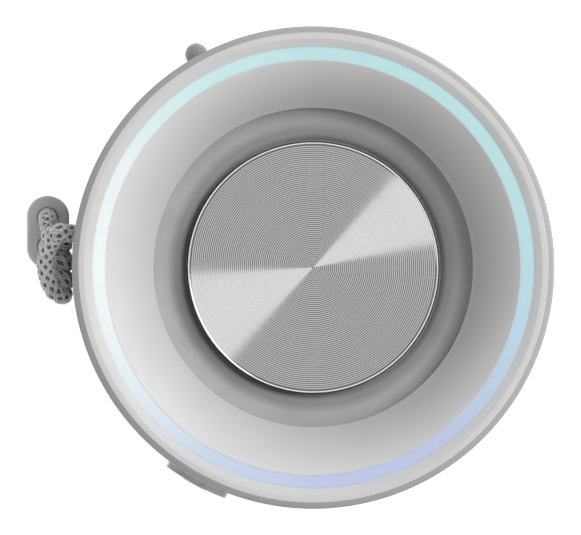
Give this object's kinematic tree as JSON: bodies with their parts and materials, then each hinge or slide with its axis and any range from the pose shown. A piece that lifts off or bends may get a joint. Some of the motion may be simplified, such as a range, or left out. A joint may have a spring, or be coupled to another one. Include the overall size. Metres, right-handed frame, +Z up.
{
  "type": "smart speaker",
  "caption": "Upright cylindrical smart speaker with a light ring, end radiators, raised side keys, a control strip and a wrist lanyard.",
  "frame": {"origin": "on the barrel's axis, at the face of the foot ring that the speaker stands on", "axes": "+Z up along the barrel's axis, +X out of the front towards which the drivers face, lanyard on the -X side"},
  "size_m": [0.0802, 0.073, 0.203],
  "materials": {
    "shell_plastic": "satin light grey moulding",
    "light_diffuser": "frosted diffuser, lit cyan to white to pale blue",
    "spun_aluminium": "spun with fine concentric grooves",
    "dark_rubber": "matt grey rubber",
    "knit_fabric": "knitted acoustic fabric",
    "key_plastic": "fine matt grey",
    "inner_plastic": "black moulding",
    "circuit_board": "green solder mask",
    "plain_steel": "plated steel",
    "magnet_ferrite": "black ferrite",
    "cone_fabric": "coated black cloth",
    "coil_copper": "enamelled copper wire",
    "cell_wrap": "heat-shrink wrap",
    "cord_fabric": "braided grey cord"
  },
  "bodies": {
    "housing": {"amplifier_shield": "plain_steel", "battery_cell_left": "cell_wrap", "battery_cell_right": "cell_wrap", "bottom_cap": "shell_plastic", "bottom_gasket": "dark_rubber", "bottom_radiator_frame": "inner_plastic", "bottom_surround": "dark_rubber", "control_board": "circuit_board", "control_strip": "shell_plastic", "driver_baffle": "inner_plastic", "driver_basket": "plain_steel", "driver_magnet": "magnet_ferrite", "driver_screw_1": "plain_steel", "driver_screw_2": "plain_steel", "driver_screw_3": "plain_steel", "driver_screw_4": "plain_steel", "driver_yoke": "plain_steel", "fabric_sleeve": "knit_fabric", "foot_ring": "dark_rubber", "inner_barrel": "inner_plastic", "key_board": "circuit_board", "lanyard_cord": "cord_fabric", "lanyard_cord_exit": "cord_fabric", "lanyard_grommet": "plain_steel", "lanyard_knot": "cord_fabric", "led_board": "circuit_board", "light_ring": "light_diffuser", "lower_bulkhead": "inner_plastic", "main_board": "circuit_board", "microphone": "plain_steel", "status_light": "light_diffuser", "top_cap": "shell_plastic", "top_dish": "shell_plastic", "top_gasket": "dark_rubber", "top_radiator_frame": "inner_plastic", "top_surround": "dark_rubber", "tweeter_magnet": "magnet_ferrite", "tweeter_plate": "inner_plastic", "upper_bulkhead": "inner_plastic", "usb_port": "plain_steel"},
    "volume_up_key": {"volume_up_key": "key_plastic"},
    "volume_down_key": {"volume_down_key": "key_plastic"},
    "power_button": {"power_button": "key_plastic"},
    "pair_button": {"pair_button": "key_plastic"},
    "voice_button": {"voice_button": "key_plastic"},
    "port_cover": {"port_cover": "dark_rubber"},
    "top_radiator": {"top_radiator": "spun_aluminium", "top_radiator_mass": "plain_steel"},
    "bottom_radiator": {"bottom_radiator": "spun_aluminium", "bottom_radiator_mass": "plain_steel"},
    "driver_cone": {"driver_cone": "cone_fabric", "driver_surround": "dark_rubber", "driver_dust_cap": "cone_fabric", "driver_coil": "coil_copper"},
    "tweeter_dome": {"tweeter_dome": "cone_fabric"},
    "lanyard_bead": {"lanyard_bead": "key_plastic"}
  },
  "joints": [
    {"name": "volume_up_press", "type": "slide", "parent": "housing", "child": "volume_up_key", "axis": [0.4802, -0.8771, 0], "range_m": [0, 0.0003], "stiffness_N_per_m": 2000},
    {"name": "volume_down_press", "type": "slide", "parent": "housing", "child": "volume_down_key", "axis": [0.4802, -0.8771, 0], "range_m": [0, 0.0003], "stiffness_N_per_m": 2000},
    {"name": "power_press", "type": "slide", "parent": "housing", "child": "power_button", "axis": [0.4802, 0.8771, 0], "range_m": [0, 0.0004], "stiffness_N_per_m": 2000},
    {"name": "pair_press", "type": "slide", "parent": "housing", "child": "pair_button", "axis": [0.4802, 0.8771, 0], "range_m": [0, 0.0004], "stiffness_N_per_m": 2000},
    {"name": "voice_press", "type": "slide", "parent": "housing", "child": "voice_button", "axis": [0.4802, 0.8771, 0], "range_m": [0, 0.0004], "stiffness_N_per_m": 2000},
    {"name": "port_cover_hinge", "type": "hinge", "parent": "housing", "child": "port_cover", "pos_m": [-0.01803, -0.03294, 0.1177], "axis": [-0.8771, 0.4802, 0], "range_deg": [0, 110]},
    {"name": "top_radiator_travel", "type": "slide", "parent": "housing", "child": "top_radiator", "axis": [0, 0, 1], "range_m": [-0.002, 0.002], "stiffness_N_per_m": 1500, "springref_m": 0.0001, "deforming": ["top_surround"]},
    {"name": "bottom_radiator_travel", "type": "slide", "parent": "housing", "child": "bottom_radiator", "axis": [0, 0, 1], "range_m": [-0.002, 0.002], "stiffness_N_per_m": 1500, "springref_m": 0.0001, "deforming": ["bottom_surround"]},
    {"name": "driver_cone_travel", "type": "slide", "parent": "housing", "child": "driver_cone", "axis": [1, 0, 0], "range_m": [-0.0015, 0.0015], "stiffness_N_per_m": 1500},
    {"name": "tweeter_dome_travel", "type": "slide", "parent": "housing", "child": "tweeter_dome", "axis": [1, 0, 0], "range_m": [-0.0002, 0.0002], "stiffness_N_per_m": 2000},
    {"name": "lanyard_bead_slide", "type": "slide", "parent": "housing", "child": "lanyard_bead", "axis": [0, 0, -1], "range_m": [0, 0.045]}
  ]
}
